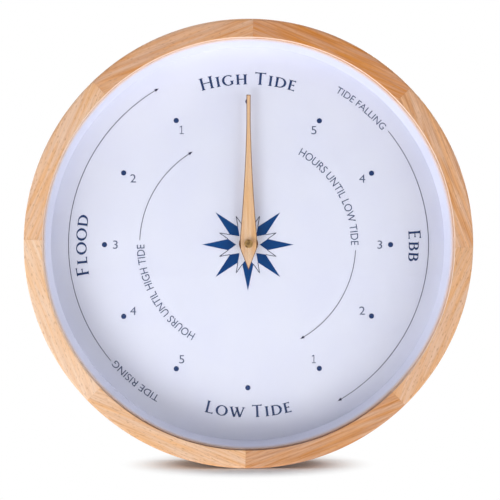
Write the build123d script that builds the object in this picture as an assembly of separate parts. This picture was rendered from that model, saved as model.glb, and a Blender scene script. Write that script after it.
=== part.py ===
from build123d import *
import math
import os

# Wall tide clock: a round beech frame glued from eight segments, with a glass, a white inner ring, a
# printed dial and a battery movement held behind it. One hand goes round once in 12 h 25 min.
# The pieces are drawn facing the viewer, with x to the right, y up and z out of the wall, from the wall
# plane at the middle of the frame. Each piece is turned upright, +Z up and the front towards -Y, and
# hung from the middle of its hanging hole, at the back of the hanger tab, as it is written.

# Beech frame
frame_diameter = 260.0
face_width = 10.9
lip_depth = 6.0
rebate_step = 3.6
front_edge_radius = 1.5
lip_edge_radius = 0.8
back_edge_radius = 1.0
segment_count = 8
first_joint_angle = 1.0

# Glass, white ring, dial and backing board, stacked in the rebate
rebate_clearance = 0.5
glass_thickness = 2.5
glass_chamfer = 0.3
ring_depth = 14.0
ring_setback = 0.4
ring_slope_width = 3.5
dial_thickness = 0.8
board_thickness = 3.0

# Framer's points, thin steel blades pushed into the frame behind the board
point_width = 6.0
point_thickness = 0.6
point_reach = 8.5
point_bite = 4.5
point_tip = 3.0

# Hanger bracket, a steel strip clamped behind the board and bent round the top of the movement
bracket_thickness = 1.2
bracket_width = 24.0
bracket_foot = 13.0
bracket_bend_radius = 2.0
bracket_clearance = 0.4
hanger_tab_height = 18.0
hanger_hole_radius = 4.5
hanger_notch_radius = 1.6
hanger_notch_rise = 4.0
hanger_corner_radius = 4.0

# Battery, size AA
battery_length = 50.5
battery_diameter = 14.2
battery_nub_diameter = 5.5
battery_nub_length = 1.3
battery_edge_radius = 0.8
battery_clearance = 0.2
bay_clearance = 0.8

# Movement case and cover
washer_thickness = 0.8
washer_diameter = 22.0
case_height = 56.0
case_wall = 1.2
wheel_wall_gap = 0.4
case_corner_radius = 3.0
partition_thickness = 1.0
contact_room = 1.55
cover_thickness = 1.2
cover_clearance = 0.15
boss_height = 1.3
boss_radius = 1.4
post_radius = 2.0
post_shoulder = 0.7
post_inset = 2.8
screw_radius = 0.8
screw_length = 5.0
screw_head_radius = 1.7
screw_head_height = 0.9
screw_slot_width = 0.5
screw_slot_depth = 0.5
wall_gap = 2.2

# Threaded bush, ring nut and the fits round the centre
bush_radius = 4.0
bush_flange_radius = 6.0
bush_flange_thickness = 1.0
bush_end = 0.5
nut_radius = 5.2
nut_thickness = 2.0
nut_slot_width = 1.6
nut_slot_depth = 0.9
tube_radius = 2.5
tube_bore_radius = 1.55
tube_end_chamfer = 0.3
running_clearance = 0.05
press_clearance = 0.02
hole_clearance = 0.1

# Hand
hand_length = 87.4
hand_tip_width = 2.4
hand_waist_width = 3.8
hand_root_width = 9.5
hand_hub_diameter = 11.2
hand_tail_length = 15.4
hand_tail_width = 9.2
hand_thickness = 1.2
hand_bush_height = 1.6
hand_bush_radius = 4.2
hand_gap = 0.4
tube_above_hand = 2.2
hand_root_share = 0.035
hand_waist_share = 0.52
hand_taper_share = 0.80
hand_tail_share = 0.20

# Wheels: layers, thickness, gaps between layers and how far a pinion stands past the wheel that it drives
wheel_layer_count = 6
wheel_thickness = 0.9
layer_gap = 0.6
pinion_overhang = 0.2
bridge_thickness = 1.2
arbor_radius = 0.7
pivot_radius = 0.4
pivot_clearance = 0.04
end_shake = 0.15
cannon_front_radius = 1.5
cannon_rear_radius = 1.2
setting_arbor_radius = 1.0

# Tooth counts, modules and tooth form
tide_module = 0.45
tide_teeth = 40
minute_pinion_teeth = 10
minute_teeth = 36
cannon_teeth = 12
train_module = 0.25
pinion_teeth = 10
centre_teeth = 75
third_teeth = 80
fourth_teeth = 60
fifth_teeth = 50
pressure_angle = 20.0
half_turn_angle = 180.0
tooth_share = 0.42
addendum_share = 0.9
dedendum_share = 1.2
pinion_flank_shares = (0.0, 0.5, 1.0)
wheel_flank_shares = (0.0, 1.0)

# Directions from each arbor to the next, in degrees from +x towards +y
minute_direction = 150.0
third_direction = 20.0
fourth_direction = 60.0
fifth_direction = 165.0
rotor_direction = 178.0

# Setting knob
knob_radius = 6.5
knob_height = 1.6
knob_flute_radius = 0.6
knob_flute_count = 24
knob_gap = 0.3

# Stepping motor: rotor magnet, stator, core, bobbin and winding
magnet_radius = 2.5
magnet_length = 1.6
magnet_gap = 0.5
pole_width = 2.1
pole_notch_radius = 0.8
stator_thickness = 1.0
arm_width = 3.0
arm_drop = 8.6
arm_rise = 1.6
coil_wall_gap = 1.6
core_width = 4.0
core_thickness = 1.0
bobbin_wall = 0.6
bobbin_flange_thickness = 0.8
bobbin_flange_width = 8.4
bobbin_flange_height = 6.8
winding_margin = 0.4
coil_clearance = 0.3
bridge_clearance = 0.5

# Circuit board with its chip and quartz crystal
circuit_width = 9.5
circuit_height = 12.0
circuit_thickness = 0.8
circuit_standoff = 0.8
circuit_stand_radius = 1.2
circuit_arbor_gap = 0.8
circuit_partition_gap = 1.0
chip_radius = 2.4
chip_height = 0.9
crystal_radius = 1.0
crystal_length = 6.0

# Battery contacts
contact_thickness = 0.3
contact_width = 8.0
contact_height_share = 0.62
contact_bend_radius = 0.6

# Overrun of every cut past the face that it opens
overrun = 1.0

# Sizes worked out across the frame
frame_radius = frame_diameter / 2
lip_radius = frame_radius - face_width
rebate_radius = lip_radius + rebate_step
pane_radius = rebate_radius - rebate_clearance
segment_angle = 360 / segment_count

# Sizes worked out across the movement: the wheels' chamber reaches down just past the centre wheel, the
# battery bay lies below it, and the height of the case then sets how far its top stands above the axis
centre_wheel_radius = train_module * (centre_teeth / 2 + addendum_share)
chamber_bottom = -centre_wheel_radius - wheel_wall_gap
bay_top = chamber_bottom - partition_thickness
bay_bottom = bay_top - battery_diameter - 2 * bay_clearance
case_bottom = bay_bottom - case_wall
case_top = case_bottom + case_height
pocket_top = case_top - case_wall
case_width = battery_length + 2 * (contact_room + case_wall)
pocket_half = case_width / 2 - case_wall
tube_hole_radius = tube_radius + press_clearance
clearance_hole_radius = bush_radius + hole_clearance

# Depth of the movement, from the front wall of its case to the back of its cover
layer_step = wheel_thickness + layer_gap
layers_depth = bush_flange_thickness + wheel_layer_count * layer_step + 2 * layer_gap + bridge_thickness
case_depth = case_wall + layers_depth + boss_height + cover_thickness

# Heights above the wall, from the back of the movement to the front of the frame
case_back = wall_gap
case_front = case_back + case_depth
washer_front = case_front + washer_thickness
board_back = washer_front + bracket_thickness
dial_back = board_back + board_thickness
dial_front = dial_back + dial_thickness
glass_back = dial_front + ring_depth
lip_seat = glass_back + glass_thickness
frame_depth = lip_seat + lip_depth

# Heights inside the movement, each layer behind the one before
inside_front = case_front - case_wall
cover_inside = case_back + cover_thickness
tide_front = inside_front - bush_flange_thickness - layer_gap
minute_front = tide_front - layer_step
centre_front = minute_front - layer_step
bridge_front = centre_front - layer_step
bridge_back = bridge_front - bridge_thickness
third_front = bridge_back - layer_gap
fourth_front = third_front - layer_step
fifth_front = fourth_front - layer_step
stator_back = bridge_back - stator_thickness
core_back = stator_back - core_thickness
core_middle = stator_back - core_thickness / 2
front_bearing = inside_front - boss_height
cover_bearing = cover_inside + boss_height

# Heights of the hand above the dial
nut_front = dial_front + nut_thickness
bush_front = nut_front + bush_end
hand_bush_back = bush_front + hand_gap
hand_back = hand_bush_back + hand_bush_height
hand_front = hand_back + hand_thickness
tube_front = hand_front + tube_above_hand

# Hanger heights above the middle of the dial
hanger_leg_bottom = case_top + bracket_clearance
hanger_tab_back = case_back
hanger_tab_top = hanger_leg_bottom + bracket_thickness + hanger_tab_height
hanger_hole_height = hanger_tab_top - hanger_tab_height / 2

# The cannon pinion shares the minute arbor's distance with the tide wheel, which sets its module
minute_module = tide_module * (tide_teeth + minute_pinion_teeth) / (minute_teeth + cannon_teeth)


def beside(place, module, teeth_a, teeth_b, direction):
    """The place of the arbor whose pinion or wheel meshes with one at place, in that direction."""
    distance = module * (teeth_a + teeth_b) / 2
    turn = math.radians(direction)
    return place[0] + distance * math.cos(turn), place[1] + distance * math.sin(turn)


centre_place = (0.0, 0.0)
minute_place = beside(centre_place, tide_module, tide_teeth, minute_pinion_teeth, minute_direction)
third_place = beside(centre_place, train_module, centre_teeth, pinion_teeth, third_direction)
fourth_place = beside(third_place, train_module, third_teeth, pinion_teeth, fourth_direction)
fifth_place = beside(fourth_place, train_module, fourth_teeth, pinion_teeth, fifth_direction)
rotor_place = beside(fifth_place, train_module, fifth_teeth, pinion_teeth, rotor_direction)

standing = (Align.CENTER, Align.CENTER, Align.MIN)
upright = Pos(0, hanger_tab_back, -hanger_hole_height) * Rot(90, 0, 0)


def disc(radius, low, high, place=(0.0, 0.0)):
    """A round bar along z between two heights."""
    return Pos(place[0], place[1], low) * Cylinder(radius, high - low, align=standing)


def slab(outline, low, high):
    """A flat outline carried along z between two heights."""
    return Pos(0, 0, low) * extrude(outline, high - low)


def ring(outer, inner, low, high, place=(0.0, 0.0)):
    """A round bar with a round hole right through."""
    return disc(outer, low, high, place) - disc(inner, low - overrun, high + overrun, place)


def corner(outline, x, y):
    """The corner of an outline nearest to a point."""
    return outline.vertices().sort_by_distance((x, y, 0))[0]


def write(shape, node):
    """Stands a piece upright, hangs it from its hanging hole and writes its file."""
    export_step(upright * shape, f"parts/{node}.step")


# Frame segment: one eighth of a turned ring with a lip in front and a rebate behind it
def frame_profile():
    outline = Polygon(
        (rebate_radius, 0),
        (frame_radius, 0),
        (frame_radius, frame_depth),
        (lip_radius, frame_depth),
        (lip_radius, lip_seat),
        (rebate_radius, lip_seat),
        align=None,
    )
    outline = fillet(corner(outline, frame_radius, 0), back_edge_radius)
    outline = fillet(corner(outline, frame_radius, frame_depth), front_edge_radius)
    return fillet(corner(outline, lip_radius, frame_depth), lip_edge_radius)


def segment_start(index):
    """Where a segment starts, in degrees from +x, for joints counted clockwise from the top."""
    return 90 - first_joint_angle - (index + 1) * segment_angle


def framer_point(index):
    """A blade with a pointed end in the wood, lying on the back of the board at a segment's middle."""
    blade = Polygon(
        (rebate_radius - point_reach, -point_width / 2),
        (rebate_radius + point_bite - point_tip, -point_width / 2),
        (rebate_radius + point_bite, 0),
        (rebate_radius + point_bite - point_tip, point_width / 2),
        (rebate_radius - point_reach, point_width / 2),
        align=None,
    )
    blade = slab(blade, board_back - point_thickness, board_back)
    return Rot(0, 0, segment_start(index) + segment_angle / 2) * blade


def frame_segment(index):
    turned = revolve(Plane.XZ * frame_profile(), Axis.Z, segment_angle)
    return Rot(0, 0, segment_start(index)) * turned - framer_point(index)


# Panes held in the rebate: glass, white conical ring, dial and backing board
def lens_glass():
    pane = disc(pane_radius, glass_back, lip_seat)
    return chamfer(pane.edges(), glass_chamfer)


def inner_ring():
    front_radius = lip_radius + ring_setback
    section = Polygon(
        (front_radius - ring_slope_width, dial_front),
        (pane_radius, dial_front),
        (pane_radius, glass_back),
        (front_radius, glass_back),
        align=None,
    )
    return revolve(Plane.XZ * section, Axis.Z, 360)


def dial_plate():
    return ring(pane_radius, clearance_hole_radius, dial_back, dial_front)


def backing_board():
    return ring(pane_radius, clearance_hole_radius, board_back, dial_back)


# Hanger bracket: a strip that goes up behind the board, back over the movement and up again
def bent_strip(corners, bend_radius, thickness, width):
    """A strip bent along a line of corners, with its thickness to the right of the line."""
    line = FilletPolyline(*corners, radius=bend_radius)
    section = Face(line.offset_2d(thickness, side=Side.RIGHT, closed=True))
    return extrude(section, width / 2, both=True)


def hanger_bracket():
    leg_top = hanger_leg_bottom + bracket_thickness
    tab_front = hanger_tab_back + bracket_thickness
    strip = [
        (-bracket_foot, board_back),
        (leg_top, board_back),
        (leg_top, tab_front),
        (hanger_tab_top, tab_front),
    ]
    bent = Plane.YZ * bent_strip(strip, bracket_bend_radius, bracket_thickness, bracket_width)
    corners = bent.edges().filter_by(Axis.Z).group_by(Axis.Y)
    bent = fillet(corners[0] + corners[-1], hanger_corner_radius)
    bent -= disc(clearance_hole_radius, board_back - bracket_thickness - overrun, board_back + overrun)
    hole_bottom = hanger_tab_back - overrun
    hole_top = hanger_tab_back + bracket_thickness + overrun
    bent -= disc(hanger_hole_radius, hole_bottom, hole_top, (0.0, hanger_hole_height))
    notch = Pos(0, hanger_hole_height + hanger_notch_rise / 2) * SlotCenterToCenter(
        hanger_notch_rise, 2 * hanger_notch_radius, 90
    )
    return bent - slab(notch, hole_bottom, hole_top)


def rubber_washer():
    return ring(washer_diameter / 2, clearance_hole_radius, case_front, washer_front)


# Movement case: a square tray with a wheel chamber above and a battery bay below
post_places = [
    (side * (pocket_half - post_inset), height)
    for height in (chamber_bottom + post_inset, pocket_top - post_inset)
    for side in (-1, 1)
]


def pocket(low, high):
    """A pocket from the back of the case to its front wall, between two heights on the dial."""
    middle = (low + high) / 2
    outline = Pos(0, middle) * Rectangle(2 * pocket_half, high - low)
    return slab(outline, case_back - overrun, inside_front)


def bearing(place, low, high):
    """A boss with a blind pivot hole, before the hole is cut."""
    return disc(boss_radius, low, high, place)


def pivot_hole(place, low, high):
    return disc(pivot_radius + pivot_clearance, low, high, place)


def movement_case():
    middle = (case_bottom + case_top) / 2
    outline = Pos(0, middle) * RectangleRounded(case_width, case_height, case_corner_radius)
    case = slab(outline, case_back, case_front)
    case -= pocket(bay_bottom, bay_top)
    case -= pocket(chamber_bottom, pocket_top)
    for place in post_places:
        case += disc(post_radius + post_shoulder, bridge_front, inside_front, place)
        case += disc(post_radius, cover_inside, inside_front, place)
        pilot_front = cover_inside + screw_length
        case -= disc(screw_radius + press_clearance, cover_inside - overrun, pilot_front, place)
    for place in (minute_place, third_place):
        case += bearing(place, front_bearing, inside_front)
        case -= pivot_hole(place, front_bearing - overrun, inside_front)
    return case - disc(bush_radius + press_clearance, inside_front - overrun, case_front + overrun)


def movement_cover():
    half = pocket_half - cover_clearance
    low = chamber_bottom + cover_clearance
    high = pocket_top - cover_clearance
    outline = Pos(0, (low + high) / 2) * Rectangle(2 * half, high - low)
    cover = slab(outline, case_back, cover_inside)
    for place in (third_place, fourth_place, fifth_place, rotor_place):
        cover += bearing(place, cover_inside, cover_bearing)
        cover -= pivot_hole(place, cover_inside, cover_bearing + overrun)
    for place in post_places:
        cover -= disc(screw_radius + hole_clearance, case_back - overrun, cover_inside + overrun, place)
    bearing_hole = setting_arbor_radius + running_clearance
    return cover - disc(bearing_hole, case_back - overrun, cover_inside + overrun, minute_place)


def cover_screw(place):
    """A slotted cheese-head screw through the cover into a post of the case."""
    screw = disc(screw_radius, case_back, cover_inside + screw_length - end_shake, place)
    screw += disc(screw_head_radius, case_back - screw_head_height, case_back, place)
    slot = Pos(place[0], place[1]) * Rectangle(2 * screw_head_radius + overrun, screw_slot_width)
    slot_bottom = case_back - screw_head_height - overrun
    return screw - slab(slot, slot_bottom, slot_bottom + overrun + screw_slot_depth)


def gear_bridge():
    """The plate between the motion work and the train, notched round the coil."""
    half = pocket_half - bridge_clearance
    low = chamber_bottom + bridge_clearance
    high = pocket_top - bridge_clearance
    plate = Pos(0, (low + high) / 2) * Rectangle(2 * half, high - low)
    notch_width = coil_wall_gap + bobbin_flange_width + coil_clearance
    notch = Pos(-pocket_half + notch_width / 2, coil_middle) * Rectangle(
        notch_width, coil_length + 2 * coil_clearance
    )
    bridge = slab(plate - notch, bridge_back, bridge_front)
    for place in circuit_stands:
        bridge += disc(circuit_stand_radius, bridge_back - circuit_standoff, bridge_back, place)
    holes = [(place, post_radius + hole_clearance) for place in post_places]
    holes += [(place, pivot_radius + pivot_clearance) for place in (fourth_place, fifth_place, rotor_place)]
    holes += [(centre_place, arbor_radius + pivot_clearance)]
    holes += [(third_place, arbor_radius + layer_gap / 2)]
    holes += [(minute_place, setting_arbor_radius + layer_gap / 2)]
    for place, radius in holes:
        bridge -= disc(radius, bridge_back - overrun, bridge_front + overrun, place)
    return bridge


# Threaded bush and ring nut that clamp the movement, bracket, board and dial together
def threaded_bush():
    bush = disc(bush_radius, inside_front, bush_front)
    bush += disc(bush_flange_radius, inside_front - bush_flange_thickness, inside_front)
    flange_back = inside_front - bush_flange_thickness
    return bush - disc(tube_radius + running_clearance, flange_back - overrun, bush_front + overrun)


def ring_nut():
    nut = ring(nut_radius, bush_radius + press_clearance, dial_front, nut_front)
    slot = Rectangle(2 * nut_radius + overrun, nut_slot_width)
    return nut - slab(slot, nut_front - nut_slot_depth, nut_front + overrun)


# Toothed wheels: straight-sided teeth between points of an involute flank, with running backlash
def flank_angle(radius, pitch_radius, teeth):
    """Half the angle that a tooth takes up at a radius, from the involute of the pressure angle."""
    pressure = math.radians(pressure_angle)
    base_radius = pitch_radius * math.cos(pressure)
    slope = math.acos(min(1, base_radius / radius)) if radius > base_radius else 0
    opening = math.tan(pressure) - pressure - math.tan(slope) + slope
    return math.pi / teeth * tooth_share + opening


def toothed_disc(teeth, module, flank_shares, turn, low, high, place):
    """A wheel or pinion, with the middle of its first tooth at a turn in degrees."""
    pitch_radius = module * teeth / 2
    root = pitch_radius - dedendum_share * module
    height = (addendum_share + dedendum_share) * module
    radii = [root + share * height for share in flank_shares]
    flank = [(radius, flank_angle(radius, pitch_radius, teeth)) for radius in radii]
    points = []
    for tooth in range(teeth):
        middle = math.radians(turn) + 2 * math.pi * tooth / teeth
        sides = [(radius, middle - half) for radius, half in flank]
        sides += [(radius, middle + half) for radius, half in reversed(flank)]
        points += [(radius * math.cos(angle), radius * math.sin(angle)) for radius, angle in sides]
    return Pos(place[0], place[1], 0) * slab(Polygon(*points, align=None), low, high)


def wheel(teeth, module, direction, front, place):
    """A wheel in the layer that starts at a height, with a tooth towards the pinion that it meshes with."""
    return toothed_disc(teeth, module, wheel_flank_shares, direction, front - wheel_thickness, front, place)


def pinion(teeth, module, direction, front, place):
    """A pinion in a wheel's layer, with a gap towards that wheel, which lies back along the direction."""
    turn = direction + half_turn_angle + half_turn_angle / teeth
    low = front - wheel_thickness - pinion_overhang
    return toothed_disc(teeth, module, pinion_flank_shares, turn, low, front + pinion_overhang, place)


def arbor(place, low, high, pivot_low, pivot_high):
    """A round arbor with a thinner pivot at each end."""
    return disc(arbor_radius, low, high, place) + disc(pivot_radius, pivot_low, pivot_high, place)


# Tide hand and what turns with it: brass bush, tube and wheel
def hand_outline():
    root_height = hand_root_share * hand_length
    waist_height = hand_waist_share * hand_length
    taper_height = hand_taper_share * hand_length
    tail_height = hand_tail_share * hand_tail_length
    right = ThreePointArc(
        (hand_root_width / 2, root_height),
        (hand_waist_width / 2, waist_height),
        (hand_tip_width / 2, taper_height),
    )
    left = ThreePointArc(
        (-hand_tip_width / 2, taper_height),
        (-hand_waist_width / 2, waist_height),
        (-hand_root_width / 2, root_height),
    )
    tip = Polyline(
        right @ 1,
        (hand_tip_width / 2, hand_length),
        (-hand_tip_width / 2, hand_length),
        left @ 0,
    )
    tail = Polyline(
        left @ 1,
        (-hand_tail_width / 2, -tail_height),
        (0, -hand_tail_length),
        (hand_tail_width / 2, -tail_height),
        right @ 0,
    )
    blade = make_face([right, tip, left, tail])
    return blade + Circle(hand_hub_diameter / 2) - Circle(tube_hole_radius)


def tide_hand():
    return slab(hand_outline(), hand_back, hand_front)


def hand_bush():
    return ring(hand_bush_radius, tube_hole_radius, hand_bush_back, hand_back)


def hand_tube():
    tube = disc(tube_radius, tide_front - wheel_thickness, tube_front)
    tube = chamfer(tube.edges().sort_by(Axis.Z)[-1], tube_end_chamfer)
    return tube - disc(tube_bore_radius, tide_front - wheel_thickness - overrun, tube_front + overrun)


def tide_wheel():
    toothed = wheel(tide_teeth, tide_module, minute_direction, tide_front, centre_place)
    return toothed - disc(tube_hole_radius, tide_front - wheel_thickness - overrun, tide_front + overrun)


# Cannon pinion: its front arbor runs in the tube, and its rear arbor carries the centre wheel
def cannon_pinion():
    turn = minute_direction + half_turn_angle / cannon_teeth
    low = minute_front - wheel_thickness - pinion_overhang
    high = minute_front + pinion_overhang
    toothed = toothed_disc(cannon_teeth, minute_module, pinion_flank_shares, turn, low, high, centre_place)
    toothed += disc(cannon_front_radius, low, tube_front - tube_end_chamfer)
    toothed += disc(cannon_rear_radius, bridge_front + end_shake, high)
    return toothed + disc(arbor_radius, bridge_back, high)


# Minute wheel on the setting arbor, with the knob behind the cover
def minute_wheel():
    toothed = toothed_disc(
        minute_teeth,
        minute_module,
        wheel_flank_shares,
        minute_direction + half_turn_angle,
        minute_front - wheel_thickness,
        minute_front,
        minute_place,
    )
    toothed += pinion(minute_pinion_teeth, tide_module, minute_direction, tide_front, minute_place)
    toothed += disc(setting_arbor_radius, knob_front - knob_height, front_bearing - end_shake, minute_place)
    return toothed + disc(pivot_radius, tide_front, inside_front - end_shake, minute_place)


knob_front = case_back - knob_gap


def setting_knob():
    grip = Circle(knob_radius)
    grip -= PolarLocations(knob_radius, knob_flute_count) * Circle(knob_flute_radius)
    grip -= Circle(setting_arbor_radius + press_clearance)
    return Pos(minute_place[0], minute_place[1], 0) * slab(grip, knob_front - knob_height, knob_front)


# Going train, from the wheel on the cannon pinion's arbor to the rotor
def centre_wheel():
    toothed = wheel(centre_teeth, train_module, third_direction, centre_front, centre_place)
    bore = cannon_rear_radius + running_clearance
    return toothed - disc(bore, centre_front - wheel_thickness - overrun, centre_front + overrun)


def third_wheel():
    toothed = wheel(third_teeth, train_module, fourth_direction, third_front, third_place)
    toothed += pinion(pinion_teeth, train_module, third_direction, centre_front, third_place)
    return toothed + arbor(
        third_place,
        cover_bearing + end_shake,
        front_bearing - end_shake,
        cover_inside + end_shake,
        inside_front - end_shake,
    )


def bridge_arbor(place):
    """An arbor that runs between the bridge and the cover."""
    return arbor(
        place,
        cover_bearing + end_shake,
        bridge_back - end_shake,
        cover_inside + end_shake,
        bridge_front - end_shake,
    )


def fourth_wheel():
    toothed = wheel(fourth_teeth, train_module, fifth_direction, fourth_front, fourth_place)
    toothed += pinion(pinion_teeth, train_module, fourth_direction, third_front, fourth_place)
    return toothed + bridge_arbor(fourth_place)


def fifth_wheel():
    toothed = wheel(fifth_teeth, train_module, rotor_direction, fifth_front, fifth_place)
    toothed += pinion(pinion_teeth, train_module, fifth_direction, fourth_front, fifth_place)
    return toothed + bridge_arbor(fifth_place)


def rotor_pinion():
    toothed = pinion(pinion_teeth, train_module, rotor_direction, fifth_front, rotor_place)
    return toothed + bridge_arbor(rotor_place)


magnet_front = bridge_back - end_shake


def rotor_magnet():
    bore = arbor_radius + press_clearance
    return ring(magnet_radius, bore, magnet_front - magnet_length, magnet_front, rotor_place)


# Stepping motor: a stator round the magnet, and a coil on the core that closes it
pole_bore = magnet_radius + magnet_gap
pole_radius = pole_bore + pole_width
coil_x = -pocket_half + coil_wall_gap + bobbin_flange_width / 2
arm_low = rotor_place[1] - arm_drop
arm_high = rotor_place[1] + arm_rise
coil_bottom = arm_low + arm_width
coil_length = arm_high - coil_bottom
coil_middle = coil_bottom + coil_length / 2


def stator():
    """Two arms from the ends of the core to the poles, which nearly meet round the magnet."""
    left = coil_x - core_width / 2
    reach = rotor_place[0] - left
    upper = Pos(left + reach / 2, arm_high + arm_width / 2) * Rectangle(reach, arm_width)
    web = rotor_place[0] - pole_radius
    lower_reach = web + arm_width - left
    lower = Pos(left + lower_reach / 2, arm_low + arm_width / 2) * Rectangle(lower_reach, arm_width)
    web_rise = rotor_place[1] - arm_low - pole_notch_radius
    link = Pos(web + arm_width / 2, arm_low + web_rise / 2) * Rectangle(arm_width, web_rise)
    pole = Pos(*rotor_place) * Circle(pole_radius)
    bore = Pos(*rotor_place) * Circle(pole_bore)
    plate = upper + lower + link + pole - bore
    for side in (-1, 1):
        plate -= Pos(rotor_place[0] + side * pole_radius, rotor_place[1]) * Circle(pole_notch_radius)
    return slab(plate, stator_back, bridge_back)


def coil_core():
    outline = Pos(coil_x, (arm_low + arm_high + arm_width) / 2) * Rectangle(
        core_width, arm_high + arm_width - arm_low
    )
    return slab(outline, core_back, stator_back)


def coil_section(width, height):
    """A slice of the coil across its length, with the hole that the core passes through."""
    hole = Rectangle(core_width + 2 * press_clearance, core_thickness + 2 * press_clearance)
    return Rectangle(width, height) - hole


def along_coil(section, low, high):
    """Carries a slice of the coil up the core between two heights."""
    return Pos(coil_x, low, core_middle) * Rot(-90, 0, 0) * extrude(section, high - low)


reel_width = core_width + 2 * bobbin_wall
reel_height = core_thickness + 2 * bobbin_wall


def coil_bobbin():
    flange = coil_section(bobbin_flange_width, bobbin_flange_height)
    top = coil_bottom + coil_length
    bobbin = along_coil(coil_section(reel_width, reel_height), coil_bottom, top)
    bobbin += along_coil(flange, coil_bottom, coil_bottom + bobbin_flange_thickness)
    return bobbin + along_coil(flange, top - bobbin_flange_thickness, top)


def coil_winding():
    width = bobbin_flange_width - 2 * winding_margin
    height = bobbin_flange_height - 2 * winding_margin
    wound = RectangleRounded(width, height, height / 2 - winding_margin)
    wound -= Rectangle(reel_width, reel_height)
    low = coil_bottom + bobbin_flange_thickness
    return along_coil(wound, low, coil_bottom + coil_length - bobbin_flange_thickness)


# Circuit board on two stands of the bridge, with the chip's cap and the crystal on its back
circuit_front = bridge_back - circuit_standoff
circuit_back = circuit_front - circuit_thickness
circuit_right = minute_place[0] - setting_arbor_radius - circuit_arbor_gap
circuit_low = chamber_bottom + circuit_partition_gap
circuit_x = circuit_right - circuit_width / 2
circuit_y = circuit_low + circuit_height / 2
stand_rise = circuit_height / 2 - circuit_stand_radius
circuit_stands = [(circuit_x, circuit_y + stand_rise), (circuit_x, circuit_y - stand_rise)]


def circuit_board():
    """A rectangle that is cut back square wherever it would reach a post of the case."""
    outline = Pos(circuit_x, circuit_y) * Rectangle(circuit_width, circuit_height)
    post_room = 2 * (post_radius + hole_clearance)
    for place in post_places:
        outline -= Pos(*place) * Rectangle(post_room, post_room)
    return slab(outline, circuit_back, circuit_front)


def chip_cap():
    """A drop of resin over the chip, cut from a ball."""
    ball_radius = (chip_radius ** 2 + chip_height ** 2) / (2 * chip_height)
    place = (circuit_x, circuit_y + circuit_height / 4)
    ball = Pos(place[0], place[1], circuit_back + ball_radius - chip_height) * Sphere(ball_radius)
    return ball & disc(chip_radius, circuit_back - chip_height, circuit_back, place)


def quartz_crystal():
    height = circuit_y - circuit_height / 4
    can = Rot(90, 0, 0) * Cylinder(crystal_radius, crystal_length)
    return Pos(circuit_x, height, circuit_back - crystal_radius) * can


# Battery in its bay between two leaf contacts
bay_middle = (bay_bottom + bay_top) / 2
battery_axis = inside_front - battery_clearance - battery_diameter / 2


def battery():
    can_length = battery_length - battery_nub_length
    can = Cylinder(battery_diameter / 2, can_length, align=standing)
    can = fillet(can.edges().filter_by(GeomType.CIRCLE), battery_edge_radius)
    nub = Pos(0, 0, can_length) * Cylinder(battery_nub_diameter / 2, battery_nub_length, align=standing)
    return Pos(-battery_length / 2, bay_middle, battery_axis) * Rot(0, 90, 0) * (can + nub)


def battery_contact(side):
    """A leaf on the end wall of the bay, folded over so that its free end presses on the battery."""
    half_height = contact_height_share * battery_diameter / 2
    touch_x = battery_length / 2
    leaf = [
        (pocket_half, battery_axis + half_height),
        (pocket_half, battery_axis - half_height),
        (touch_x, battery_axis - half_height),
        (touch_x, battery_axis + half_height / 2),
    ]
    bent = bent_strip(leaf, contact_bend_radius, contact_thickness, contact_width)
    bent = Pos(0, bay_middle, 0) * Rot(90, 0, 0) * bent
    return bent if side > 0 else mirror(bent, Plane.YZ)


pieces = {
    "lens_glass": lens_glass,
    "inner_ring": inner_ring,
    "dial_plate": dial_plate,
    "backing_board": backing_board,
    "hanger_bracket": hanger_bracket,
    "rubber_washer": rubber_washer,
    "movement_case": movement_case,
    "movement_cover": movement_cover,
    "gear_bridge": gear_bridge,
    "threaded_bush": threaded_bush,
    "ring_nut": ring_nut,
    "tide_hand": tide_hand,
    "hand_bush": hand_bush,
    "hand_tube": hand_tube,
    "tide_wheel": tide_wheel,
    "cannon_pinion": cannon_pinion,
    "minute_wheel": minute_wheel,
    "setting_knob": setting_knob,
    "centre_wheel": centre_wheel,
    "third_wheel": third_wheel,
    "fourth_wheel": fourth_wheel,
    "fifth_wheel": fifth_wheel,
    "rotor_pinion": rotor_pinion,
    "rotor_magnet": rotor_magnet,
    "stator": stator,
    "coil_core": coil_core,
    "coil_bobbin": coil_bobbin,
    "coil_winding": coil_winding,
    "circuit_board": circuit_board,
    "chip_cap": chip_cap,
    "quartz_crystal": quartz_crystal,
    "battery": battery,
}

os.makedirs("parts", exist_ok=True)
for number in range(segment_count):
    write(frame_segment(number), f"frame_segment_{number + 1}")
write(Compound([framer_point(number) for number in range(segment_count)]), "framer_points")
write(Compound([cover_screw(place) for place in post_places]), "cover_screws")
write(battery_contact(1), "positive_contact")
write(battery_contact(-1), "negative_contact")
for node, piece in pieces.items():
    write(piece(), node)
print(f"frame depth {frame_depth:.2f} mm")
print(f"movement {case_width:.2f} x {case_height:.2f} x {case_depth:.2f} mm")
print(f"hanging hole {hanger_hole_height:.2f} mm above the middle of the dial")
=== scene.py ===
import math

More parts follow.
